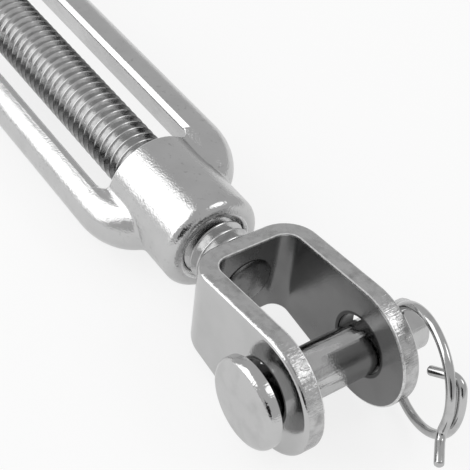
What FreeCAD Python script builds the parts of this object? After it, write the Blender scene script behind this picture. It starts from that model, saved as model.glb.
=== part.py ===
"""A shroud adjuster: an open-body rigging screw with a fork, a clevis pin and a split ring at each end.

All sizes are in millimetres. The long axis runs along X, both clevis pins lie along Y, and Z is up.
The origin is the middle of the barrel on the screw's axis. The screw lies as it would on a bench,
on the rims of its two forks, with the rails of the barrel rolled a little out of the level.
The two ends are one set of pieces, turned half round about Z. Only the hand of the thread differs.
"""
import FreeCAD, Part
import math
import os
from FreeCAD import Vector

os.makedirs("parts", exist_ok=True)

# Screw thread: right-handed at one end and left-handed at the other
THREAD_RADIUS = 3.0
THREAD_CLEARANCE = 0.05

# Barrel: two rails between two bosses
BARREL_LENGTH = 90.0
BARREL_ROLL = 20.0
BOSS_RADIUS = 4.9
BOSS_LENGTH = 10.5
BOSS_ROUNDING = 1.1
NECK_LENGTH = 4.2
SHOULDER_LENGTH = 6.8
WINDOW_CLEARANCE = 1.85
WINDOW_CORNER = 1.0
RAIL_DEPTH = 3.1
RAIL_HEIGHT = 5.0
RAIL_FACET = 0.55
RAIL_FACET_DROP = 0.25
COUNTERSINK = 0.4
VALLEY_ROUNDING = 0.9

# Studs
EXPOSED_THREAD = 3.2
STUD_TIP_GAP = 7.0
STUD_TIP_CHAMFER = 0.6
SPIGOT_RADIUS = 2.1
SPIGOT_CLEARANCE = 0.05
RIVET_OVERLAP = 0.4
RIVET_HEIGHT = 0.3

# Forks, each bent from one strap
STRAP = 1.8
JAW_WIDTH = 8.0
JAW_DEPTH = 10.5
EYE_RADIUS = 5.7
EYE_HOLE_RADIUS = 2.7
BASE_HALF_WIDTH = 4.15
BEND_RADIUS = 1.4
STRAP_ROUNDING = 0.4

# Clevis pins
PIN_RADIUS = 2.3
PIN_BEARING_CLEARANCE = 0.06
PIN_HEAD_RADIUS = 4.0
PIN_HEAD_HEIGHT = 1.35
PIN_HEAD_ROUNDING = 0.7
PIN_HEAD_STANDOFF = 1.2
PIN_TAIL = 4.2
PIN_TAIL_CHAMFER = 0.45
PIN_TURN = 9.4
CROSS_HOLE_RADIUS = 0.8
CROSS_HOLE_SETBACK = 1.65

# Split rings
WIRE_RADIUS = 0.42
RING_RADIUS = 5.37
RING_LEAN = 13.9
RING_RISE = 1.9
RING_ROLL = 1.45
RING_BEND_RADIUS = 1.0
STUB_ARC = 201.0
STUB_ROLL = 24.0
STUB_LENGTH = 2.1
TAIL_ARC = 195.0
TAIL_ROLL = 28.0
TAIL_LENGTH = 2.0

# Places worked out from the sizes above
HALF_BARREL = BARREL_LENGTH / 2
WINDOW_HALF_WIDTH = THREAD_RADIUS + WINDOW_CLEARANCE
RAIL_HALF_HEIGHT = RAIL_HEIGHT / 2
RAIL_REACH = WINDOW_HALF_WIDTH + RAIL_DEPTH
BOSS_ROOT = BOSS_LENGTH + WINDOW_CORNER
FORK_BACK = HALF_BARREL + EXPOSED_THREAD
PIN_CENTRE = FORK_BACK + STRAP + JAW_DEPTH
EAR_FACE = JAW_WIDTH / 2 + STRAP
PIN_OFFSET = EYE_HOLE_RADIUS - PIN_RADIUS - PIN_BEARING_CLEARANCE
CROSS_HOLE_PLACE = EAR_FACE + CROSS_HOLE_SETBACK

ALONG_X = Vector(1, 0, 0)
ALONG_Y = Vector(0, 1, 0)
ALONG_Z = Vector(0, 0, 1)
ORIGIN = Vector(0, 0, 0)


def shoulder_line():
    """Middle line of the round outer side of a rail, where it curves in to the boss of the +X end."""
    ahead = SHOULDER_LENGTH - RAIL_HALF_HEIGHT
    aside = RAIL_REACH - 2 * RAIL_HALF_HEIGHT
    stretch = FreeCAD.Matrix()
    stretch.A11 = ahead
    stretch.A14 = HALF_BARREL - NECK_LENGTH - SHOULDER_LENGTH
    stretch.A22 = aside
    stretch.A24 = RAIL_HALF_HEIGHT
    return Part.makeCircle(1, ORIGIN, ALONG_Z, 0, 90).transformGeometry(stretch).Edges[0]


def rails():
    """Both rails and the solid between them: a plate as high as the rails, with round bars along its sides."""
    right = shoulder_line()
    left = right.mirror(ORIGIN, ALONG_X)
    front = right.valueAt(right.FirstParameter)
    side = right.valueAt(right.LastParameter)
    straight = Part.makeLine(side, Vector(-side.x, side.y, 0))
    section = Part.Wire([Part.makeCircle(RAIL_HALF_HEIGHT, front, ALONG_Y)])
    bar = Part.Wire([right, straight, left]).makePipeShell([section], True, False)
    half = [right, straight, left]
    other_half = [edge.mirror(ORIGIN, ALONG_Y) for edge in half]
    ends = [
        Part.makeLine(front, Vector(front.x, -front.y, 0)),
        Part.makeLine(Vector(-front.x, front.y, 0), Vector(-front.x, -front.y, 0)),
    ]
    outline = Part.Wire(Part.__sortEdges__(half + other_half + ends))
    plate = Part.Face(outline).extrude(ALONG_Z * RAIL_HEIGHT)
    plate.translate(ALONG_Z * -RAIL_HALF_HEIGHT)
    return plate.fuse([bar, bar.mirror(ORIGIN, ALONG_Y)]).removeSplitter()


def boss():
    """Round boss of the +X end, with its rim rounded and its back a half ball inside the window."""
    rim = BOSS_RADIUS - BOSS_ROUNDING
    slant = BOSS_ROUNDING * math.sqrt(0.5)
    back = HALF_BARREL - BOSS_ROOT
    ball = BOSS_RADIUS * math.sqrt(0.5)
    edges = [
        Part.makeLine(Vector(HALF_BARREL, 0, 0), Vector(HALF_BARREL, rim, 0)),
        Part.Arc(
            Vector(HALF_BARREL, rim, 0),
            Vector(HALF_BARREL - BOSS_ROUNDING + slant, rim + slant, 0),
            Vector(HALF_BARREL - BOSS_ROUNDING, BOSS_RADIUS, 0),
        ).toShape(),
        Part.makeLine(Vector(HALF_BARREL - BOSS_ROUNDING, BOSS_RADIUS, 0), Vector(back, BOSS_RADIUS, 0)),
        Part.Arc(
            Vector(back, BOSS_RADIUS, 0), Vector(back - ball, ball, 0), Vector(back - BOSS_RADIUS, 0, 0)
        ).toShape(),
        Part.makeLine(Vector(back - BOSS_RADIUS, 0, 0), Vector(HALF_BARREL, 0, 0)),
    ]
    return Part.Face(Part.Wire(edges)).revolve(ORIGIN, ALONG_X, 360)


def in_valley(edge):
    """True for the edges where a boss rises out of the rails: they run along the skin of the boss."""
    first, last = edge.ParameterRange
    for step in range(5):
        point = edge.valueAt(first + (last - first) * step / 4)
        depth = HALF_BARREL - abs(point.x)
        in_ball = max(depth - BOSS_ROOT, 0)
        reach = math.sqrt(point.y ** 2 + point.z ** 2 + in_ball ** 2)
        if abs(reach - BOSS_RADIUS) > 0.01 or depth < 1.01 * BOSS_ROUNDING:
            return False
    return edge.BoundBox.XLength > 0.01


def rounded_box(x_half, y_half, z_half, corner):
    """Block centred on the origin, with the four edges along Z rounded."""
    block = Part.makeBox(2 * x_half, 2 * y_half, 2 * z_half, Vector(-x_half, -y_half, -z_half))
    upright = [edge for edge in block.Edges if edge.BoundBox.ZLength > z_half]
    return block.makeFillet(corner, upright)


def rail_facets():
    """Four long wedges that take the corners off the inner faces of the rails."""
    half_length = HALF_BARREL - BOSS_ROOT
    wedges = []
    for side in (1, -1):
        for top in (1, -1):
            inner = side * WINDOW_HALF_WIDTH
            outer = side * (WINDOW_HALF_WIDTH + RAIL_FACET)
            low = top * (RAIL_HALF_HEIGHT - RAIL_FACET_DROP)
            high = top * RAIL_HALF_HEIGHT
            past = side * WINDOW_CLEARANCE / 2
            corners = [
                Vector(-half_length, inner - past, low),
                Vector(-half_length, inner, low),
                Vector(-half_length, outer, high),
                Vector(-half_length, outer, 2 * high),
                Vector(-half_length, inner - past, 2 * high),
            ]
            face = Part.Face(Part.makePolygon(corners + corners[:1]))
            wedges.append(face.extrude(ALONG_X * 2 * half_length))
    return wedges


def barrel():
    """The open body: a cast and polished frame with a threaded bore through each boss."""
    body = rails().fuse([boss(), boss().mirror(ORIGIN, ALONG_X)]).removeSplitter()
    body = body.makeFillet(VALLEY_ROUNDING, [edge for edge in body.Edges if in_valley(edge)])
    window = rounded_box(HALF_BARREL - BOSS_LENGTH, WINDOW_HALF_WIDTH, 2 * RAIL_REACH, WINDOW_CORNER)
    bore_radius = THREAD_RADIUS + THREAD_CLEARANCE
    bore = Part.makeCylinder(bore_radius, BARREL_LENGTH, Vector(-HALF_BARREL, 0, 0), ALONG_X)
    mouth = Part.makeCone(
        bore_radius, bore_radius + COUNTERSINK, COUNTERSINK, Vector(HALF_BARREL - COUNTERSINK, 0, 0), ALONG_X
    )
    far_mouth = mouth.mirror(ORIGIN, ALONG_X)
    body = body.cut([window, bore, mouth, far_mouth] + rail_facets())
    body = body.removeSplitter()
    body.rotate(ORIGIN, ALONG_X, BARREL_ROLL)
    return body


def stud():
    """Threaded stud of the +X end: its spigot passes through the fork and is riveted over."""
    tip = STUD_TIP_GAP / 2
    seat = FORK_BACK + STRAP
    rivet_radius = SPIGOT_RADIUS + RIVET_OVERLAP
    profile = [
        Vector(tip, 0, 0),
        Vector(tip, THREAD_RADIUS - STUD_TIP_CHAMFER, 0),
        Vector(tip + STUD_TIP_CHAMFER, THREAD_RADIUS, 0),
        Vector(FORK_BACK, THREAD_RADIUS, 0),
        Vector(FORK_BACK, SPIGOT_RADIUS, 0),
        Vector(seat, SPIGOT_RADIUS, 0),
        Vector(seat, rivet_radius, 0),
        Vector(seat + RIVET_HEIGHT, SPIGOT_RADIUS, 0),
        Vector(seat + RIVET_HEIGHT, 0, 0),
    ]
    face = Part.Face(Part.makePolygon(profile + profile[:1]))
    return face.revolve(ORIGIN, ALONG_X, 360)


def strap_bend():
    """The strap seen from above, bent into a U, as tall as the eyes."""
    back = -JAW_DEPTH - STRAP
    outer = rounded_box((EYE_RADIUS - back), EAR_FACE, EYE_RADIUS, BEND_RADIUS + STRAP)
    outer.translate(Vector(EYE_RADIUS, 0, 0))
    inner = rounded_box(EYE_RADIUS + JAW_DEPTH, JAW_WIDTH / 2, 2 * EYE_RADIUS, BEND_RADIUS)
    inner.translate(Vector(EYE_RADIUS, 0, 0))
    return outer.cut(inner)


def strap_outline():
    """The strap seen from the side: a round eye, with straight edges that narrow to the base."""
    back = -JAW_DEPTH - STRAP
    reach = math.hypot(back, BASE_HALF_WIDTH)
    turn = math.atan2(BASE_HALF_WIDTH, back) - math.acos(EYE_RADIUS / reach)
    top_corner = Vector(back, 0, BASE_HALF_WIDTH)
    low_corner = Vector(back, 0, -BASE_HALF_WIDTH)
    top_tangent = Vector(EYE_RADIUS * math.cos(turn), 0, EYE_RADIUS * math.sin(turn))
    low_tangent = Vector(top_tangent.x, 0, -top_tangent.z)
    rim = Part.Arc(top_tangent, Vector(EYE_RADIUS, 0, 0), low_tangent).toShape()
    wire = Part.Wire([
        Part.LineSegment(top_corner, top_tangent).toShape(),
        rim,
        Part.LineSegment(low_tangent, low_corner).toShape(),
        Part.LineSegment(low_corner, top_corner).toShape(),
    ])
    blank = Part.Face(wire).extrude(ALONG_Y * 4 * EAR_FACE)
    blank.translate(ALONG_Y * -2 * EAR_FACE)
    return blank


def on_outer_skin(point):
    """True for a point on the outer faces of the bent strap, seen from above."""
    corner = BEND_RADIUS + STRAP
    across = EAR_FACE - abs(point.y)
    behind = point.x + JAW_DEPTH + STRAP
    if across < corner and behind < corner:
        return abs(math.hypot(corner - across, corner - behind) - corner) < 0.001
    return min(across, behind) < 0.001


def is_stamped_edge(edge):
    """True for the edges round the outside of the strap, which stamping leaves rounded."""
    first, last = edge.ParameterRange
    points = [edge.valueAt(first + (last - first) * step / 4) for step in range(5)]
    upright = edge.BoundBox.XLength + edge.BoundBox.YLength < 0.001
    hole = max(math.hypot(point.x, point.z) for point in points) < (EYE_RADIUS + EYE_HOLE_RADIUS) / 2
    return all(on_outer_skin(point) for point in points) and not upright and not hole


def fork():
    """One fork with its eye centred on the origin: a strap bent round, with a hole in each ear and its back."""
    body = strap_bend().common(strap_outline())
    body = body.makeFillet(STRAP_ROUNDING, [edge for edge in body.Edges if is_stamped_edge(edge)])
    pin_hole = Part.makeCylinder(EYE_HOLE_RADIUS, 4 * EAR_FACE, Vector(0, -2 * EAR_FACE, 0), ALONG_Y)
    back_hole = Part.makeCylinder(
        SPIGOT_RADIUS + SPIGOT_CLEARANCE, 2 * STRAP, Vector(-JAW_DEPTH - 1.5 * STRAP, 0, 0), ALONG_X
    )
    return body.cut([pin_hole, back_hole])


def clevis_pin():
    """Headed pin in its place in the eye, bearing on the outer side of the holes, drilled for the ring."""
    underside = -EAR_FACE - PIN_HEAD_STANDOFF
    face = underside - PIN_HEAD_HEIGHT
    tail = EAR_FACE + PIN_TAIL
    flat = PIN_HEAD_RADIUS - PIN_HEAD_ROUNDING
    slant = PIN_HEAD_ROUNDING * math.sqrt(0.5)
    middle = Vector(flat + slant, face + PIN_HEAD_ROUNDING - slant, 0)
    edges = [
        Part.LineSegment(Vector(0, face, 0), Vector(flat, face, 0)).toShape(),
        Part.Arc(Vector(flat, face, 0), middle, Vector(PIN_HEAD_RADIUS, face + PIN_HEAD_ROUNDING, 0)).toShape(),
    ]
    corners = [
        Vector(PIN_HEAD_RADIUS, face + PIN_HEAD_ROUNDING, 0),
        Vector(PIN_HEAD_RADIUS, underside, 0),
        Vector(PIN_RADIUS, underside, 0),
        Vector(PIN_RADIUS, tail - PIN_TAIL_CHAMFER, 0),
        Vector(PIN_RADIUS - PIN_TAIL_CHAMFER, tail, 0),
        Vector(0, tail, 0),
        Vector(0, face, 0),
    ]
    for start, finish in zip(corners, corners[1:]):
        edges.append(Part.LineSegment(start, finish).toShape())
    body = Part.Face(Part.Wire(edges)).revolve(ORIGIN, ALONG_Y, 360)
    hole = Part.makeCylinder(
        CROSS_HOLE_RADIUS, 4 * PIN_RADIUS, Vector(0, CROSS_HOLE_PLACE, -2 * PIN_RADIUS), ALONG_Z
    )
    body = body.cut(hole)
    body.rotate(ORIGIN, ALONG_Y, -PIN_TURN)
    body.translate(Vector(PIN_OFFSET, 0, 0))
    return body


def wire_bend(place, along, inward, radius, angle):
    """Round wire bent from a place, and the place and directions at the far end of the bend."""
    section = Part.Face(Part.Wire([Part.makeCircle(WIRE_RADIUS, place, along)]))
    centre = place + inward * radius
    axis = along.cross(inward)
    turn = FreeCAD.Rotation(axis, angle)
    far_place = centre + turn.multVec(place - centre)
    return section.revolve(centre, axis, angle), far_place, turn.multVec(along), turn.multVec(inward)


def half_ring(place, along, arc, end_roll, end_side, straight):
    """Wire of the ring from the pin's cross hole to one end: four arcs of the coil, a sharp bend and a straight."""
    count = 4
    inward = ALONG_X
    roll = RING_ROLL / 2
    pieces = []
    for step in range(count):
        inward = FreeCAD.Rotation(along, -roll).multVec(inward)
        roll = RING_ROLL
        bend, place, along, inward = wire_bend(place, along, inward, RING_RADIUS, arc / count)
        pieces.append(bend)
    inward = FreeCAD.Rotation(along, end_roll).multVec(inward * end_side)
    bend, place, along, inward = wire_bend(place, along, inward, RING_BEND_RADIUS, 90)
    pieces.append(bend)
    pieces.append(Part.makeCylinder(WIRE_RADIUS, straight, place, along))
    return pieces


def split_ring():
    """Ring of round wire through the cross hole of the pin, a little more than one turn round."""
    # The wire bows inside the straight hole, so the hole's axis halves the bow
    bow = RING_RADIUS - math.sqrt(RING_RADIUS ** 2 - PIN_RADIUS ** 2)
    start = Vector(-bow / 2, 0, 0)
    up = FreeCAD.Rotation(ALONG_X, -RING_RISE).multVec(ALONG_Z)
    tail = half_ring(start, up, TAIL_ARC, TAIL_ROLL, -1, TAIL_LENGTH)
    stub = half_ring(start, up * -1, STUB_ARC, STUB_ROLL, 1, STUB_LENGTH)
    body = tail[0].fuse(tail[1:] + stub).removeSplitter()
    body.rotate(ORIGIN, ALONG_Z, -RING_LEAN)
    body.rotate(ORIGIN, ALONG_Y, -PIN_TURN)
    body.translate(Vector(PIN_OFFSET, CROSS_HOLE_PLACE, 0))
    return body


def export(shape, node):
    shape.exportStep("parts/" + node + ".step")


def place_end(shape, side):
    """Turn a piece of the +X end round to the end that the side names."""
    placed = shape.copy()
    if side == "left":
        placed.rotate(ORIGIN, ALONG_Z, 180)
    return placed


def main():
    export(barrel(), "barrel")
    at_eye = {"fork": fork(), "clevis_pin": clevis_pin(), "split_ring": split_ring()}
    for shape in at_eye.values():
        shape.translate(Vector(PIN_CENTRE, 0, 0))
    pieces = {"stud": stud(), **at_eye}
    for side in ("right", "left"):
        for name, shape in pieces.items():
            export(place_end(shape, side), side + "_" + name)


main()
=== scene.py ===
# %% [markdown]
# A shroud adjuster, dressed for its photograph.
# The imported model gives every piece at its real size: a barrel, two threaded studs, two forks,
# two clevis pins and two split rings. Here each surface gets its finish, and each piece gets the
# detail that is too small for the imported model: screw threads, broken edges, the riveted ends
# of the studs and the rounded ends of the wire.
# Everything is in metres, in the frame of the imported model. The screw's axis runs along X.

# %% Load the frame
import math

import bpy
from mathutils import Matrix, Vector


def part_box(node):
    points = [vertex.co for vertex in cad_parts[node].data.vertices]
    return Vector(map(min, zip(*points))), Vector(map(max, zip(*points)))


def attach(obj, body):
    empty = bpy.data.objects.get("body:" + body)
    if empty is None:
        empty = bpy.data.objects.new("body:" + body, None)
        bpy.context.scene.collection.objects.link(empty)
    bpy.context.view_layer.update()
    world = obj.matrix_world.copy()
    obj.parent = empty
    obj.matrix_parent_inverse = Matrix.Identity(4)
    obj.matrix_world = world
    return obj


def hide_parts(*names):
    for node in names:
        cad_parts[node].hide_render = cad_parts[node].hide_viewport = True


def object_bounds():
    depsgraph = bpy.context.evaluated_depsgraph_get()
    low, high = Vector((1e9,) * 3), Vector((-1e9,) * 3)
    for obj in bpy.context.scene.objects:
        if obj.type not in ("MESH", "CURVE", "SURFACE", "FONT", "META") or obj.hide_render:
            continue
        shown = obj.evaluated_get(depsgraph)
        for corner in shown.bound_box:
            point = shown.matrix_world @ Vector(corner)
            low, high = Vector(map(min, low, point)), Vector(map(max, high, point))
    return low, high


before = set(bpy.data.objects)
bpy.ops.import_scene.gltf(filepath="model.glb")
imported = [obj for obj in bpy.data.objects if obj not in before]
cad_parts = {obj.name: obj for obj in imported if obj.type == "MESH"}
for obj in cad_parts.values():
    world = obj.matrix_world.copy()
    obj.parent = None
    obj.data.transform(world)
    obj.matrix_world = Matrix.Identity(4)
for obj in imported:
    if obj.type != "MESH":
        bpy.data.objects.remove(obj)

packed_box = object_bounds()
MM = 0.001
print("packed box, mm:", [[round(v / MM, 2) for v in corner] for corner in packed_box])

# %% [markdown]
# The camera looks down on one end of the screw from in front and to the right.
# Its place and turn come from matching the eyes, the pin and the barrel of the model
# to the picture, and they give a long lens, as product photographs have.

# %% Camera
CAMERA_PLACE = (104.02 * MM, -47.25 * MM, 72.76 * MM)
CAMERA_TURN = (46.548, -5.566, 55.337)
LENS_MM = 90.21
SENSOR_MM = 36
NEAREST_SEEN = 5 * MM


def add_camera():
    bpy.ops.object.camera_add(location=CAMERA_PLACE, rotation=[math.radians(turn) for turn in CAMERA_TURN])
    camera = bpy.context.object
    camera.data.lens = LENS_MM
    camera.data.sensor_width = SENSOR_MM
    camera.data.clip_start = NEAREST_SEEN
    bpy.context.scene.camera = camera
    return camera


camera = add_camera()
print("camera at, mm:", [round(v / MM, 1) for v in camera.location])

# %% [markdown]
# The screw lies on white paper. A plain white floor would come out grey, because the lamps are
# set for the steel. So the paper also glows a little, more for the camera than for the steel
# that mirrors it, and it still keeps the faint shadow of the object.

# %% Floor
FLOOR_LEVEL = packed_box[0].z
FLOOR_SIZE = 4
PAPER_WHITE = 0.96
PAPER_ROUGHNESS = 0.9
PAPER_GLOSS = 0.1
GLOW_IN_VIEW = 0.8
GLOW_IN_STEEL = 0.45


def add_floor():
    bpy.ops.mesh.primitive_plane_add(size=FLOOR_SIZE, location=(0, 0, FLOOR_LEVEL))
    floor = bpy.context.object
    floor.name = "floor"
    paper = bpy.data.materials.new("paper")
    paper.use_nodes = True
    nodes, links = paper.node_tree.nodes, paper.node_tree.links
    shader = nodes["Principled BSDF"]
    shader.inputs["Base Color"].default_value = (PAPER_WHITE, PAPER_WHITE, PAPER_WHITE, 1)
    shader.inputs["Roughness"].default_value = PAPER_ROUGHNESS
    shader.inputs["Specular IOR Level"].default_value = PAPER_GLOSS
    ray = nodes.new("ShaderNodeLightPath")
    in_steel = nodes.new("ShaderNodeMath")
    in_steel.operation = "MULTIPLY"
    in_steel.inputs[1].default_value = GLOW_IN_STEEL
    links.new(ray.outputs["Is Glossy Ray"], in_steel.inputs[0])
    share = nodes.new("ShaderNodeMath")
    share.operation = "MULTIPLY_ADD"
    share.inputs[1].default_value = GLOW_IN_VIEW
    links.new(ray.outputs["Is Camera Ray"], share.inputs[0])
    links.new(in_steel.outputs[0], share.inputs[2])
    white = nodes.new("ShaderNodeEmission")
    white.inputs["Color"].default_value = (1, 1, 1, 1)
    mixed = nodes.new("ShaderNodeMixShader")
    links.new(share.outputs[0], mixed.inputs[0])
    links.new(shader.outputs[0], mixed.inputs[1])
    links.new(white.outputs[0], mixed.inputs[2])
    links.new(mixed.outputs[0], nodes["Material Output"].inputs["Surface"])
    floor.data.materials.append(paper)


add_floor()
print("floor at, mm:", round(FLOOR_LEVEL / MM, 2))

# %% [markdown]
# Polished steel has hardly a colour of its own: it shows what stands round it, so the lights are
# placed by what the steel mirrors in the picture. The top of the boss mirrors a white soft box
# that stands to the left and in front, and the pins mirror a second one on the right.
# A lamp's power spreads over its face, so it is worked out from how bright the face should be.

# %% Soft boxes
AIM = Vector((55 * MM, 0, 0))
FRONT_BOX = {"place": (-0.30, -0.47, 0.37), "size": (0.66, 0.70), "brightness": 1.65}
RIGHT_BOX = {"place": (0.32, 0.34, 0.52), "size": (0.26, 0.26), "brightness": 2.1}


def facing(place):
    """The turn of a lamp or card at a place that faces the object."""
    return (AIM - Vector(place)).to_track_quat("-Z", "Y")


def add_softbox(name, place, size, brightness):
    """A soft box whose face is so many times as bright as white paper."""
    light = bpy.data.lights.new(name, "AREA")
    light.shape = "RECTANGLE"
    light.size, light.size_y = size
    light.energy = brightness * math.pi * size[0] * size[1]
    lamp = bpy.data.objects.new(name, light)
    bpy.context.collection.objects.link(lamp)
    lamp.location = place
    lamp.rotation_mode = "QUATERNION"
    lamp.rotation_quaternion = facing(place)
    lamp.visible_camera = False


add_softbox("front_box", **FRONT_BOX)
add_softbox("right_box", **RIGHT_BOX)

# %% [markdown]
# White lights alone make steel look like plaster. Its dark lines come from dark things in the
# room: the rims that face the camera mirror a dark patch below it, so a black card stands
# there. All other faces mirror an even grey room.

# %% A dark card and the room
DARK_CARD = {"place": (0.48, -0.34, 0.14), "size": (0.34, 0.30)}
BLACK = (0.02, 0.02, 0.02, 1)
ROOM_BRIGHTNESS = 0.58


def add_dark_card(name, place, size):
    """A black card that only the steel sees."""
    bpy.ops.mesh.primitive_plane_add(size=1)
    card = bpy.context.object
    card.name = name
    card.scale = (size[0], size[1], 1)
    card.location = place
    card.rotation_mode = "QUATERNION"
    card.rotation_quaternion = facing(place)
    card.visible_camera = False
    card.visible_shadow = False
    card.visible_diffuse = False
    black = bpy.data.materials.new("black_card")
    black.use_nodes = True
    shader = black.node_tree.nodes["Principled BSDF"]
    shader.inputs["Base Color"].default_value = BLACK
    shader.inputs["Roughness"].default_value = 1
    shader.inputs["Specular IOR Level"].default_value = 0
    card.data.materials.append(black)


def add_room(strength):
    room = bpy.data.worlds.new("room")
    room.use_nodes = True
    bpy.context.scene.world = room
    background = room.node_tree.nodes["Background"]
    background.inputs["Color"].default_value = (1, 1, 1, 1)
    background.inputs["Strength"].default_value = strength


add_dark_card("dark_card", **DARK_CARD)
add_room(ROOM_BRIGHTNESS)
bpy.context.scene.view_settings.view_transform = "Standard"
print("room brightness:", ROOM_BRIGHTNESS)

# %% [markdown]
# Modelling by script takes the same steps as modelling by hand. An operator acts on all that is
# selected, so each step first picks one piece and nothing else. A modifier is applied at once,
# so that the next step finds a plain mesh again.

# %% Helpers to pick, edit and modify
MERGE_REACH = 0.001 * MM


def pick(piece):
    """Select one object and nothing else."""
    bpy.ops.object.select_all(action="DESELECT")
    piece.select_set(True)
    bpy.context.view_layer.objects.active = piece


def edit(piece):
    """Open a piece in edit mode with all of it selected."""
    pick(piece)
    bpy.ops.object.mode_set(mode="EDIT")
    bpy.ops.mesh.select_mode(type="VERT")
    bpy.ops.mesh.select_all(action="SELECT")


def close_edit():
    bpy.ops.object.mode_set(mode="OBJECT")


def apply_modifier(piece, kind, **settings):
    """Add a modifier, set it and apply it."""
    pick(piece)
    modifier = piece.modifiers.new(kind.lower(), kind)
    for name, value in settings.items():
        setattr(modifier, name, value)
    bpy.ops.object.modifier_apply(modifier=modifier.name)


def merge_and_turn_out(piece):
    """Merge the points that lie on each other, and turn all faces outwards."""
    edit(piece)
    bpy.ops.mesh.remove_doubles(threshold=MERGE_REACH)
    bpy.ops.mesh.normals_make_consistent(inside=False)
    close_edit()


def count(piece):
    faces = sum(len(polygon.vertices) - 2 for polygon in piece.data.polygons)
    print(piece.name, "has", faces, "triangles")


# %% [markdown]
# Most of this fitting is round, so most of it starts as an outline in the XY plane, as it would
# on a lathe. A cylinder could be cut to shape instead, but an outline gives every chamfer and
# fillet at its own size. It is drawn by extruding one point step by step, and swept round an axis.

# %% Draw an outline and turn it
ROUND_STEPS = 64


def profile_chain(name, points):
    """A string of edges in the XY plane, drawn point by point from one corner of a plane."""
    bpy.ops.object.select_all(action="DESELECT")
    bpy.ops.mesh.primitive_plane_add(size=MM)
    piece = bpy.context.object
    piece.name = name
    bpy.ops.object.mode_set(mode="EDIT")
    bpy.ops.mesh.select_all(action="SELECT")
    bpy.ops.mesh.merge(type="CENTER")
    bpy.ops.transform.translate(value=(points[0][0], points[0][1], 0))
    for start, finish in zip(points, points[1:]):
        step = (finish[0] - start[0], finish[1] - start[1], 0)
        bpy.ops.mesh.extrude_vertices_move(TRANSFORM_OT_translate={"value": step})
    close_edit()
    return piece


def turned(name, points, axis, steps=ROUND_STEPS):
    """A turned solid: its profile, swept once round the axis."""
    piece = profile_chain(name, points)
    apply_modifier(piece, "SCREW", axis=axis, angle=2 * math.pi, steps=steps, render_steps=steps)
    merge_and_turn_out(piece)
    return piece


# %% [markdown]
# The studs carry a rolled metric thread: a pitch of 1 mm on a 6 mm rod, with 60 degree flanks.
# The depth and the flat of its crest follow from the pitch, as the thread's standard has it, and
# rolling leaves the crest a little rounded. The places along the axis are read off the packed
# pieces, so the thread fits them.

# %% Thread sizes
STUD_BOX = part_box("right_stud")
STUD_TIP = STUD_BOX[0].x
RIVET_TOP = STUD_BOX[1].x
FORK_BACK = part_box("right_fork")[0].x
THREAD_RADIUS = 3.0 * MM
THREAD_PITCH = 1.0 * MM
FLANK_SLOPE = math.tan(math.radians(30))
CREST_FLAT = THREAD_PITCH / 8
THREAD_DEPTH = 0.6134 * THREAD_PITCH
ROOT_RADIUS = THREAD_RADIUS - THREAD_DEPTH
CREST_ROUNDING = 0.035 * MM
THREAD_STEPS = 48
TIP_CHAMFER = 0.6 * MM
print("root radius, mm:", round(ROOT_RADIUS / MM, 3))
print("stud from", round(STUD_TIP / MM, 2), "to", round(FORK_BACK / MM, 2), "mm")

# %% [markdown]
# A thread can be faked with stripes, but its flanks are what makes it glitter, so it is cut for
# real. The outline of one ridge is swept along the axis while it turns, which is what a die does.
# The sweep leaves both ends open, and they are closed, because only a closed solid can be cut.

# %% Sweep a thread


def ridge_of_stud():
    """One pitch of the stud's outline, from root to root, as places along the axis and radii."""
    crest_half = CREST_FLAT / 2
    middle = THREAD_PITCH / 2
    root_half = crest_half + THREAD_DEPTH * FLANK_SLOPE
    shoulder = THREAD_RADIUS - CREST_ROUNDING
    shoulder_half = crest_half + CREST_ROUNDING * FLANK_SLOPE
    return [
        (0, ROOT_RADIUS),
        (middle - root_half, ROOT_RADIUS),
        (middle - shoulder_half, shoulder),
        (middle - crest_half / 2, THREAD_RADIUS),
        (middle + crest_half / 2, THREAD_RADIUS),
        (middle + shoulder_half, shoulder),
        (middle + root_half, ROOT_RADIUS),
        (THREAD_PITCH, ROOT_RADIUS),
    ]


def screwed(name, outline, start, turns):
    """An outline swept right-handed along the axis for a number of turns, and closed at both ends."""
    piece = profile_chain(name, [(start + along, radius) for along, radius in outline])
    apply_modifier(piece, "SCREW", axis="X", angle=2 * math.pi, screw_offset=THREAD_PITCH, iterations=turns,
                   steps=THREAD_STEPS, render_steps=THREAD_STEPS)
    edit(piece)
    bpy.ops.mesh.remove_doubles(threshold=MERGE_REACH)
    bpy.ops.mesh.select_all(action="DESELECT")
    bpy.ops.mesh.select_mode(type="EDGE")
    bpy.ops.mesh.select_non_manifold()
    bpy.ops.mesh.fill_holes(sides=0)
    close_edit()
    merge_and_turn_out(piece)
    return piece


# %% [markdown]
# The long screw is kept only where it lies inside a turned blank with a chamfered tip, as a real
# thread is rolled on a blank. The blank is a little thicker than the thread, or the cut would
# run along the crests and graze them.

# %% Thread on the stud
SPARE_THREAD = 2 * THREAD_PITCH
BLANK_OVER_THREAD = 0.05 * MM


def combine(piece, other, operation):
    """Cut away or keep what another closed solid covers, then delete that solid."""
    apply_modifier(piece, "BOOLEAN", object=other, operation=operation, solver="EXACT")
    bpy.data.objects.remove(other)


def thread_on_stud():
    turns = math.ceil((FORK_BACK - STUD_TIP + 2 * SPARE_THREAD) / THREAD_PITCH)
    thread = screwed("right_threaded_stud", ridge_of_stud(), STUD_TIP - SPARE_THREAD, turns)
    blank = turned("blank", [
        (STUD_TIP, 0),
        (STUD_TIP, THREAD_RADIUS - TIP_CHAMFER),
        (STUD_TIP + TIP_CHAMFER + BLANK_OVER_THREAD, THREAD_RADIUS + BLANK_OVER_THREAD),
        (FORK_BACK, THREAD_RADIUS + BLANK_OVER_THREAD),
        (FORK_BACK, 0),
    ], "X")
    combine(thread, blank, "INTERSECT")
    return thread


right_thread = thread_on_stud()
count(right_thread)

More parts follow.
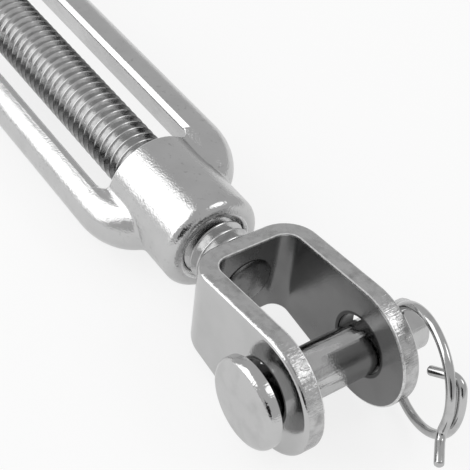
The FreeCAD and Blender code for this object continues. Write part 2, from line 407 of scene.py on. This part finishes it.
# %% [markdown]
# Behind the thread a plain spigot goes through the back of the fork. Its end is riveted over,
# which leaves a low button with a rounded rim inside the fork. It is turned from one outline.

# %% Spigot and rivet
SPIGOT_RADIUS = 2.1 * MM
RIVET_RADIUS = 2.5 * MM
RIVET_HEIGHT = 0.3 * MM
RIVET_SEAT = RIVET_TOP - RIVET_HEIGHT
# The curve of the button: heights over its seat, and how far it lies inside the rim
RIVET_CURVE = [(0, 0.06 * MM), (0.05 * MM, 0), (0.15 * MM, 0.12 * MM), (0.24 * MM, 0.45 * MM),
               (0.28 * MM, 1.0 * MM), (RIVET_HEIGHT, 1.7 * MM)]


def spigot_and_rivet():
    button = [(RIVET_SEAT + height, RIVET_RADIUS - inset) for height, inset in RIVET_CURVE]
    return turned("spigot", [
        (FORK_BACK - THREAD_PITCH, 0),
        (FORK_BACK - THREAD_PITCH, SPIGOT_RADIUS),
        (RIVET_SEAT, SPIGOT_RADIUS),
        *button,
        (RIVET_TOP, 0),
    ], "X")


def join(pieces):
    """Make one object of several. The first keeps its name."""
    pick(pieces[0])
    for piece in pieces:
        piece.select_set(True)
    bpy.ops.object.join()
    return pieces[0]


def smooth(piece, angle):
    """Shade a piece smooth, except where it is creased by more than an angle in degrees."""
    pick(piece)
    bpy.ops.object.shade_smooth_by_angle(angle=math.radians(angle))


right_stud = join([right_thread, spigot_and_rivet()])
smooth(right_stud, angle=25)
count(right_stud)

# %% [markdown]
# Both ends of the screw are alike, so every piece is made once, for the right end. Plain pieces
# are turned half round to the left end. A piece with a thread is mirrored instead, because
# turning the barrel can only tighten both ends if one thread is right-handed and one left-handed.

# %% The other end


def own_copy(piece, name):
    copied = bpy.data.objects.new(name, piece.data.copy())
    bpy.context.collection.objects.link(copied)
    return copied


def to_left_end(piece, name, mirrored=False):
    """The same piece at the other end: turned half round about Z, or mirrored where it has a thread."""
    other = own_copy(piece, name)
    pick(other)
    if mirrored:
        other.scale = (-1, 1, 1)
    else:
        other.rotation_euler = (0, 0, math.pi)
    bpy.ops.object.transform_apply(location=False, rotation=True, scale=True)
    if mirrored:
        edit(other)
        bpy.ops.mesh.normals_make_consistent(inside=False)
        close_edit()
    return other


left_stud = to_left_end(right_stud, "left_threaded_stud", mirrored=True)
print("left stud from", round(min(v.co.x for v in left_stud.data.vertices) / MM, 2), "mm")

# %% [markdown]
# The bosses of the barrel carry the matching thread inside. Only its first turns show, as a dark
# groove round the stud. It is a ridge of its own that stands in the groove of the stud, half a
# pitch away, with its foot sunk in the wall of the bore. A sleeve with a slanted mouth cuts
# it to length, as the countersink of the real bore does.

# %% Threads in the bosses
BORE_RADIUS = 3.05 * MM
BOSS_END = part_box("barrel")[1].x
BOSS_BACK = BOSS_END - 10.5 * MM
COUNTERSINK = 0.4 * MM
RUNNING_CLEARANCE = 0.05 * MM
FOOT_IN_WALL = 0.02 * MM
SLEEVE_OUTSIDE = BORE_RADIUS + 0.1 * MM
SLEEVE_INSIDE = ROOT_RADIUS


def ridge_of_boss():
    """Outline of the ridge: it is drawn in the gap of the stud's thread, and closed on itself."""
    foot = BORE_RADIUS + FOOT_IN_WALL
    top = ROOT_RADIUS + 2 * RUNNING_CLEARANCE
    gap_at_crest = THREAD_PITCH - CREST_FLAT

    def half(radius):
        return (gap_at_crest - 2 * (THREAD_RADIUS - radius) * FLANK_SLOPE) / 2 - RUNNING_CLEARANCE

    return [(-half(foot), foot), (-half(top), top), (half(top), top), (half(foot), foot), (-half(foot), foot)]


def bore_sleeve():
    """What the bore leaves of the ridge: a ring from its wall inwards, slanted at the mouth."""
    mouth = BOSS_END - COUNTERSINK + (SLEEVE_OUTSIDE - BORE_RADIUS)
    return turned("sleeve", [
        (BOSS_BACK, SLEEVE_OUTSIDE),
        (mouth, SLEEVE_OUTSIDE),
        (mouth - (SLEEVE_OUTSIDE - SLEEVE_INSIDE), SLEEVE_INSIDE),
        (BOSS_BACK, SLEEVE_INSIDE),
        (BOSS_BACK, SLEEVE_OUTSIDE),
    ], "X")


def thread_in_boss():
    turns_before = round((BOSS_BACK - STUD_TIP) / THREAD_PITCH) - 1
    start = STUD_TIP + turns_before * THREAD_PITCH
    turns = math.ceil((BOSS_END - start) / THREAD_PITCH) + 1
    ridge = screwed("right_boss_thread", ridge_of_boss(), start, turns)
    combine(ridge, bore_sleeve(), "INTERSECT")
    smooth(ridge, angle=25)
    return ridge


right_boss_thread = thread_in_boss()
left_boss_thread = to_left_end(right_boss_thread, "left_boss_thread", mirrored=True)
count(right_boss_thread)

# %% [markdown]
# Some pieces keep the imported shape, which comes as loose triangles. A copy of them is merged
# into one skin, and triangles that lie flat side by side become one face again. Only then can
# an operator tell a real edge from the border of two triangles.

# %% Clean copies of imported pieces
FLAT_WITHIN = math.radians(0.2)


def clean_copy(node, name):
    """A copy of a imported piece, merged into one skin, its flat faces cleaned of their triangles."""
    piece = own_copy(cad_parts[node], name)
    pick(piece)
    bpy.ops.mesh.customdata_custom_splitnormals_clear()
    merge_and_turn_out(piece)
    edit(piece)
    bpy.ops.mesh.dissolve_limited(angle_limit=FLAT_WITHIN)
    close_edit()
    return piece


# %% [markdown]
# The barrel and the forks are such pieces. No edge of real steel is as sharp as a drawn one:
# a sharp edge shows nothing, while a slightly broken one catches the light as a thin bright
# line. So a narrow bevel runs along every edge that is still sharp, and its faces are marked
# with a slot of their own, for a finish that is partly wear and partly a painted highlight.

# %% Broken edges on the barrel and the forks
SKIN, WORN_AND_HIGHLIT_EDGE, SHEARED = 0, 1, 2


def with_broken_edges(node, name, width, sharper_than):
    """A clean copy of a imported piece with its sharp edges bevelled."""
    piece = clean_copy(node, name)
    piece.data.materials.clear()
    for slot in (SKIN, WORN_AND_HIGHLIT_EDGE):
        piece.data.materials.append(None)
    apply_modifier(piece, "BEVEL", width=width, segments=2, limit_method="ANGLE", material=WORN_AND_HIGHLIT_EDGE,
                   angle_limit=math.radians(sharper_than), use_clamp_overlap=False, miter_outer="MITER_ARC")
    smooth(piece, angle=35)
    apply_modifier(piece, "WEIGHTED_NORMAL", keep_sharp=True, weight=80)
    return piece


barrel = with_broken_edges("barrel", "polished_barrel", width=0.14 * MM, sharper_than=28)
right_fork = with_broken_edges("right_fork", "right_strap_fork", width=0.17 * MM, sharper_than=40)
left_fork = to_left_end(right_fork, "left_strap_fork")
count(barrel)
count(right_fork)

# %% [markdown]
# A clevis pin is turned from bar: a low head with a rounded rim and a faint crown, a plain
# shank with a fillet under the head, and a chamfered tail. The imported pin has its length.

# %% Outline of a pin
PIN_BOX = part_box("right_clevis_pin")
HEAD_FACE = PIN_BOX[0].y
TAIL_END = PIN_BOX[1].y
PIN_RADIUS = 2.3 * MM
PIN_HEAD_RADIUS = 4.0 * MM
PIN_HEAD_HEIGHT = 1.35 * MM
RIM_ROUNDING = 0.7 * MM
RIM_STEPS = 7
CROWN = 0.06 * MM
HEAD_EDGE = 0.12 * MM
# Where the crown bends: a share of the flat's radius, and of the crown's height
CROWN_BEND = (0.6, 0.3)
# The fillet under the head: places along the pin, and radii over the shank's
NECK_CURVE = [(0, 0.2 * MM), (0.06 * MM, 0.06 * MM), (0.2 * MM, 0)]
# The chamfer of the tail: distances from its end, and radii under the shank's
TAIL_CURVE = [(0.5 * MM, 0), (0.38 * MM, 0.07 * MM), (0.07 * MM, 0.38 * MM), (0, 0.5 * MM)]


def pin_outline():
    """Radii and places along the pin, from the middle of the head's face to the middle of the tail."""
    underside = HEAD_FACE + PIN_HEAD_HEIGHT
    flat = PIN_HEAD_RADIUS - RIM_ROUNDING
    rim = HEAD_FACE + CROWN + RIM_ROUNDING
    points = [(0, HEAD_FACE), (flat * CROWN_BEND[0], HEAD_FACE + CROWN * CROWN_BEND[1])]
    for step in range(RIM_STEPS + 1):
        angle = math.radians(90) * step / RIM_STEPS
        points.append((flat + RIM_ROUNDING * math.sin(angle), rim - RIM_ROUNDING * math.cos(angle)))
    points.append((PIN_HEAD_RADIUS, underside - HEAD_EDGE))
    points.append((PIN_HEAD_RADIUS - HEAD_EDGE, underside))
    points += [(PIN_RADIUS + outside, underside + along) for along, outside in NECK_CURVE]
    points += [(PIN_RADIUS - inside, TAIL_END - before) for before, inside in TAIL_CURVE]
    points.append((0, TAIL_END))
    return points


print("pin from", round(HEAD_FACE / MM, 2), "to", round(TAIL_END / MM, 2), "mm")

# %% [markdown]
# The outline is swept round the pin's axis, and a hole for the ring is drilled across the tail
# with a cylinder. The pin is then turned a little in its eyes and set against the side of the
# holes that carries it, as in the picture.

# %% Pins
PIN_CENTRE = Vector((60.84 * MM, 0, 0))
PIN_TURN = math.radians(9.4)
PIN_STEPS = 96
CROSS_HOLE_RADIUS = 0.8 * MM
CROSS_HOLE_PLACE = 7.45 * MM
DRILL_STEPS = 32


def clevis_pin():
    pin = turned("right_turned_pin", pin_outline(), "Y", PIN_STEPS)
    bpy.ops.object.select_all(action="DESELECT")
    bpy.ops.mesh.primitive_cylinder_add(vertices=DRILL_STEPS, radius=CROSS_HOLE_RADIUS, depth=4 * PIN_RADIUS,
                                        location=(0, CROSS_HOLE_PLACE, 0))
    drill = bpy.context.object
    combine(pin, drill, "DIFFERENCE")
    apply_modifier(pin, "BEVEL", width=0.07 * MM, segments=2, limit_method="ANGLE",
                   angle_limit=math.radians(50), use_clamp_overlap=False)
    smooth(pin, angle=35)
    pick(pin)
    pin.rotation_euler = (0, -PIN_TURN, 0)
    pin.location = PIN_CENTRE
    bpy.ops.object.transform_apply(location=True, rotation=True, scale=False)
    return pin


right_pin = clevis_pin()
left_pin = to_left_end(right_pin, "left_turned_pin")
count(right_pin)

# %% [markdown]
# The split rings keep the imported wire. Its flat ends have the only sharp edges on it, and
# tumbling rounds them until they no longer scratch a hand, so a wide bevel takes them off.

# %% Rings


def split_ring():
    ring = clean_copy("right_split_ring", "right_wire_ring")
    apply_modifier(ring, "BEVEL", width=0.22 * MM, segments=3, limit_method="ANGLE",
                   angle_limit=math.radians(60), use_clamp_overlap=False)
    smooth(ring, angle=40)
    return ring


right_ring = split_ring()
left_ring = to_left_end(right_ring, "left_wire_ring")
count(right_ring)

# %% [markdown]
# Each new piece rides on the body of the piece that it stands for, and takes its place, so it
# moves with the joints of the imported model. The threads of the bosses stand for nothing: they
# are only added to the barrel.

# %% Hand the pieces to the frame


def stand_for(piece, body, node):
    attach(piece, body)
    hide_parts(node)


stand_for(barrel, "barrel", "barrel")
stand_for(right_stud, "right_stud", "right_stud")
stand_for(left_stud, "left_stud", "left_stud")
stand_for(right_fork, "right_fork", "right_fork")
stand_for(left_fork, "left_fork", "left_fork")
stand_for(right_pin, "right_pin", "right_clevis_pin")
stand_for(left_pin, "left_pin", "left_clevis_pin")
stand_for(right_ring, "right_ring", "right_split_ring")
stand_for(left_ring, "left_ring", "left_split_ring")
for thread in (right_boss_thread, left_boss_thread):
    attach(thread, "barrel")
print("packed pieces:", len(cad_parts))

# %% [markdown]
# Shader maths is written as Python expressions. A small class wraps a socket, so that
# a sum or product of two patterns adds its Math node by itself. Linking the nodes by hand
# would take ten lines for what reads here as one.

# %% A value on a surface


class Value:
    """A number that varies over a surface: one output socket of the material's nodes."""

    def __init__(self, tree, socket):
        self.tree = tree
        self.socket = socket

    def node(self, kind, settings=None, **sockets):
        """Add a node, set it up, then fill its sockets, by name or as i0, i1, with numbers or links."""
        made = self.tree.nodes.new(kind)
        for name, value in (settings or {}).items():
            setattr(made, name, value)
        for name, value in sockets.items():
            place = made.inputs[int(name[1:])] if name[0] == "i" and name[1:].isdigit() else made.inputs[name]
            if isinstance(value, Value):
                self.tree.links.new(value.socket, place)
            else:
                place.default_value = value
        return Value(self.tree, made.outputs[0])

    def maths(self, operation, *others):
        sockets = {"i%d" % index: other for index, other in enumerate((self,) + others)}
        return self.node("ShaderNodeMath", {"operation": operation}, **sockets)

    def __add__(self, other):
        return self.maths("ADD", other)

    def __radd__(self, other):
        return self.maths("ADD", other)

    def __mul__(self, other):
        return self.maths("MULTIPLY", other)

    def __rmul__(self, other):
        return self.maths("MULTIPLY", other)

    def __sub__(self, other):
        return self.maths("SUBTRACT", other)

    def __rsub__(self, other):
        return (self * -1) + other

    def stretched(self, scale):
        """Coordinates scaled apart along X, Y and Z, for patterns that run one way."""
        return self.node("ShaderNodeMapping", Vector=self, Scale=scale)

    def noise(self, size_mm, detail=2.0):
        """Cloudy pattern from 0 to 1 with patches of a size."""
        return self.node("ShaderNodeTexNoise", Vector=self, Scale=1 / (size_mm * MM), Detail=detail)

    def between(self, low, high):
        """0 on the low value's side, 1 on the high one's, and even in between."""
        return self.node("ShaderNodeMapRange", {"clamp": True}, i0=self, i1=low, i2=high)

    def along_axes(self):
        """The three numbers of a place: X, Y and Z."""
        parts = self.node("ShaderNodeSeparateXYZ", Vector=self).socket.node.outputs
        return [Value(self.tree, parts[axis]) for axis in "XYZ"]


# %% [markdown]
# All finishes are of one steel. They differ in three patterns only: how bright it is, how rough,
# and how its surface ripples. Each pattern starts from the place on the piece. The sizes of
# patterns and the heights of ripples are given in millimetres.

# %% Helpers for steel


def object_place(material):
    """The place on the piece, as the start of every pattern."""
    place = material.node_tree.nodes.new("ShaderNodeTexCoord")
    return Value(material.node_tree, place.outputs["Object"])


def grey(tone):
    return tone.node("ShaderNodeCombineColor", Red=tone, Green=tone, Blue=tone)


def bumps(spot, *layers):
    """Bump nodes in a row, each a height pattern and its height in mm."""
    normal = None
    for height, millimetres in layers:
        sockets = {"Strength": 1.0, "Distance": millimetres * MM, "Height": height}
        if normal:
            sockets["Normal"] = normal
        normal = spot.node("ShaderNodeBump", **sockets)
    return normal


def new_steel(name):
    material = bpy.data.materials.new(name)
    material.use_nodes = True
    material.node_tree.nodes["Principled BSDF"].inputs["Metallic"].default_value = 1
    return material


def plug(material, tone, rough, normal):
    """Drive the steel's colour, roughness and surface with the patterns."""
    shader = material.node_tree.nodes["Principled BSDF"]
    links = material.node_tree.links
    links.new(grey(tone).socket, shader.inputs["Base Color"])
    links.new(rough.socket, shader.inputs["Roughness"])
    links.new(normal.socket, shader.inputs["Normal"])
    print(material.name, "has", len(material.node_tree.nodes), "nodes")
    return material


# %% [markdown]
# The barrel is cast and then polished. Polishing leaves a skin that is smooth to the finger but
# still pitted like an orange: where it mirrors an even light nothing shows, and where light meets
# dark the border breaks up into grains. So the grain is in the bump and not in the colour.

# %% Polished casting


def polished_casting():
    material = new_steel("polished_casting")
    spot = object_place(material)
    grain = spot.noise(0.16)
    wave = spot.noise(1.5, 1.0)
    stain = spot.noise(2.4, 4.0).between(0.42, 0.72)
    pits = spot.noise(0.5, 3.0).between(0.62, 0.74)
    tone = 0.58 - stain * 0.04 - pits * 0.12
    rough = stain * 0.05 + 0.09
    return plug(material, tone, rough, bumps(spot, (wave, 0.02), (grain, 0.025)))


casting = polished_casting()

# %% [markdown]
# Edges that stick out rub against everything in a locker and on deck, which leaves small chips
# and makes them a little rougher. They are also painted brighter than the skin beside them:
# partly wear, and partly a painted highlight for the thin bright line that an edge catches.

# %% Worn edges with a painted highlight


def worn_and_highlit_edge():
    material = new_steel("worn_and_highlit_edge")
    spot = object_place(material)
    chips = spot.noise(0.3, 3.0)
    # The brighter tone is partly wear and partly a painted highlight on the edge.
    tone = chips.between(0.3, 0.6) * 0.25 + 0.68
    rough = chips * 0.2 + 0.2
    return plug(material, tone, rough, bumps(spot, (chips, 0.02)))


rubbed_and_highlit = worn_and_highlit_edge()

# %% [markdown]
# The forks are bent from strap that was tumbled bright. The inside of the jaw and the walls of
# the holes get a painted shade, darker than the skin, for the shadow that falls there, and they
# are a little rougher. A mask over the places of these faces on the fork is enough for that, and
# no face has to be marked by hand.

# %% Strap of the forks
STRAP_THICKNESS = 1.8 * MM
JAW_HALF_WIDTH = 4.0 * MM
FORK_BASE_FRONT = FORK_BACK + STRAP_THICKNESS
EYE_CENTRE = 60.5 * MM
EYE_HOLE_RADIUS = 2.7 * MM
SOFT_BORDER = 0.04 * MM
# Painted shade: how much darker the inside of the jaw and the walls of the holes are.
PAINTED_SHADE_INSIDE = 0.3
PAINTED_SHADE_IN_HOLE = 0.18


def tumbled_strap_and_shade():
    material = new_steel("tumbled_strap_and_shade")
    spot = object_place(material)
    x, y, z = spot.along_axes()
    grain = spot.noise(0.2)
    wave = spot.noise(2.2, 1.0)
    stain = spot.noise(3.0, 5.0).between(0.4, 0.75)
    beside = y.maths("ABSOLUTE").between(JAW_HALF_WIDTH + SOFT_BORDER, JAW_HALF_WIDTH)
    ahead = x.maths("ABSOLUTE").between(FORK_BASE_FRONT - SOFT_BORDER, FORK_BASE_FRONT)
    aside = x.maths("ABSOLUTE") - EYE_CENTRE
    from_eye = (aside * aside + z * z).maths("SQRT")
    in_hole = from_eye.between(EYE_HOLE_RADIUS + 0.4 * MM, EYE_HOLE_RADIUS + 0.3 * MM)
    inside = (beside * ahead).maths("MAXIMUM", in_hole)
    # Painted shade: the inside of the jaw and the hole walls are darkened for the shadow there.
    tone = 0.56 - stain * 0.04 - inside * PAINTED_SHADE_INSIDE - in_hole * PAINTED_SHADE_IN_HOLE
    rough = stain * 0.05 + inside * 0.12 + 0.12
    return plug(material, tone, rough, bumps(spot, (wave, 0.012), (grain, 0.01)))


strap = tumbled_strap_and_shade()

# %% [markdown]
# The punch that cut the strap sheared its edge, and so the edge is rougher than the skin, with
# dark stains. The shearing left streaks across its thickness, so their noise is stretched that
# way: along Y on the ears, and along X on the back of the fork.

# %% Sheared edge of the strap


def sheared_edge():
    material = new_steel("sheared_edge")
    spot = object_place(material)
    x = spot.along_axes()[0]
    on_ear = x.maths("ABSOLUTE").between(FORK_BASE_FRONT + 0.2 * MM, FORK_BASE_FRONT + 1.2 * MM)
    over_ear = spot.stretched((1, 0.12, 1)).noise(0.16, 3.0)
    over_base = spot.stretched((0.12, 1, 1)).noise(0.16, 3.0)
    streaks = over_ear * on_ear + over_base * (1 - on_ear)
    grain = spot.noise(0.24, 3.0)
    blotch = spot.noise(0.8, 4.0).between(0.42, 0.66)
    dark = spot.noise(1.7, 5.0).between(0.52, 0.68)
    tone = 0.56 - blotch * 0.1 - dark * 0.16
    rough = blotch * 0.1 + streaks * 0.15 + 0.12
    return plug(material, tone, rough, bumps(spot, (blotch, 0.03), (streaks, 0.05), (grain, 0.015)))


sheared = sheared_edge()

# %% [markdown]
# The pins are turned from drawn bar. Drawing leaves fine lines along the shank, so their pattern
# is a noise that is stretched along the pin. The rings are drawn wire, smoother still.

# %% Pins and wire


def turned_pin():
    material = new_steel("turned_pin")
    spot = object_place(material)
    lines = spot.stretched((1, 0.05, 1)).noise(0.2, 3.0)
    grain = spot.noise(0.15)
    wave = spot.noise(1.6, 1.0)
    stain = spot.noise(1.8, 4.0).between(0.45, 0.75)
    tone = 0.57 - stain * 0.07
    rough = stain * 0.06 + 0.08
    return plug(material, tone, rough, bumps(spot, (wave, 0.02), (lines, 0.02), (grain, 0.01)))


def drawn_wire():
    material = new_steel("drawn_wire")
    spot = object_place(material)
    grain = spot.noise(0.15)
    stain = spot.noise(1.2, 3.0).between(0.45, 0.7)
    tone = 0.55 - stain * 0.08
    rough = grain * 0.06 + 0.1
    return plug(material, tone, rough, bumps(spot, (grain, 0.003)))


pin_steel = turned_pin()
wire = drawn_wire()

# %% [markdown]
# A rolled thread is bright on its flanks. The riveted end of the same stud lies in the dark
# inside of the fork, so it gets a painted shade about as dark as the strap round it, and is rougher.

# %% Rolled thread
# Painted shade: how much darker the riveted end inside the fork is.
PAINTED_SHADE_ON_RIVET = 0.34


def rolled_thread_and_shade():
    material = new_steel("rolled_thread_and_shade")
    spot = object_place(material)
    x = spot.along_axes()[0]
    grain = spot.noise(0.12)
    stain = spot.noise(0.9, 4.0).between(0.45, 0.7)
    rivet = x.maths("ABSOLUTE").between(FORK_BASE_FRONT - 0.1 * MM, FORK_BASE_FRONT)
    # Painted shade: the riveted end in the shaded inside of the fork is darkened.
    tone = 0.58 - stain * 0.1 - rivet * PAINTED_SHADE_ON_RIVET
    rough = stain * 0.08 + grain * 0.08 + rivet * 0.1 + 0.1
    return plug(material, tone, rough, bumps(spot, (grain, 0.01)))


thread_steel = rolled_thread_and_shade()

# %% [markdown]
# On the forks some faces take another finish than the skin. Those round the edge of the strap
# are sheared: they look up or down, or they lie round the ends of the ears and never look
# sideways. The bevels in the holes take the skin again, because no light gets in to show a worn
# edge there.

# %% Faces of the forks
EYE_RIM = 5.4 * MM
STRAP_HALF_HEIGHT = 3.9 * MM
LOOKS_UP_OR_DOWN = 0.85
LOOKS_ALONG = 0.45


def in_eye(polygon):
    """True for the wall of the hole in either ear."""
    return math.hypot(abs(polygon.center.x) - EYE_CENTRE, polygon.center.z) < EYE_HOLE_RADIUS + 0.3 * MM


def is_sheared(polygon):
    """True for faces round the rim of the strap of either fork."""
    normal, centre = polygon.normal, polygon.center
    from_eye = math.hypot(abs(centre.x) - EYE_CENTRE, centre.z)
    on_edge = abs(centre.z) > STRAP_HALF_HEIGHT and from_eye > EYE_RIM / 2
    round_ear = abs(centre.x) > EYE_CENTRE - EYE_RIM / 2 and from_eye > EYE_RIM
    return (on_edge and abs(normal.z) > LOOKS_UP_OR_DOWN) or (round_ear and abs(normal.y) < LOOKS_ALONG)


def mark_strap(fork):
    """Move the faces of a fork to the slots of its skin and of its sheared edge."""
    for polygon in fork.data.polygons:
        if in_eye(polygon):
            polygon.material_index = SKIN
        elif polygon.material_index == SKIN and is_sheared(polygon):
            polygon.material_index = SHEARED
    marked = [polygon for polygon in fork.data.polygons if polygon.material_index == SHEARED]
    print(fork.name, "has", len(marked), "sheared faces")


# %% [markdown]
# Every piece gets its finish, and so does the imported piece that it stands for. The barrel and
# the forks have more than one, and their bevels already know which slot they belong to.

# %% Finishes
FINISHES = {
    "barrel": [casting, rubbed_and_highlit],
    "stud": [thread_steel],
    "fork": [strap, rubbed_and_highlit, sheared],
    "pin": [pin_steel],
    "ring": [wire],
}
DRESSED = {
    "barrel": [barrel, right_boss_thread, left_boss_thread],
    "stud": [right_stud, left_stud],
    "fork": [right_fork, left_fork],
    "pin": [right_pin, left_pin],
    "ring": [right_ring, left_ring],
}


def dress(piece, materials):
    """Give a piece its finishes. A piece with more than one keeps the slots that its bevels marked."""
    slots = [polygon.material_index for polygon in piece.data.polygons]
    piece.data.materials.clear()
    for material in materials:
        piece.data.materials.append(material)
    for polygon, slot in zip(piece.data.polygons, slots):
        polygon.material_index = slot if len(materials) > 1 else SKIN


for kind, pieces in DRESSED.items():
    for name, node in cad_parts.items():
        if kind in name:
            node.data.materials.clear()
            node.data.materials.append(FINISHES[kind][SKIN])
    for piece in pieces:
        dress(piece, FINISHES[kind])
for fork in DRESSED["fork"]:
    mark_strap(fork)
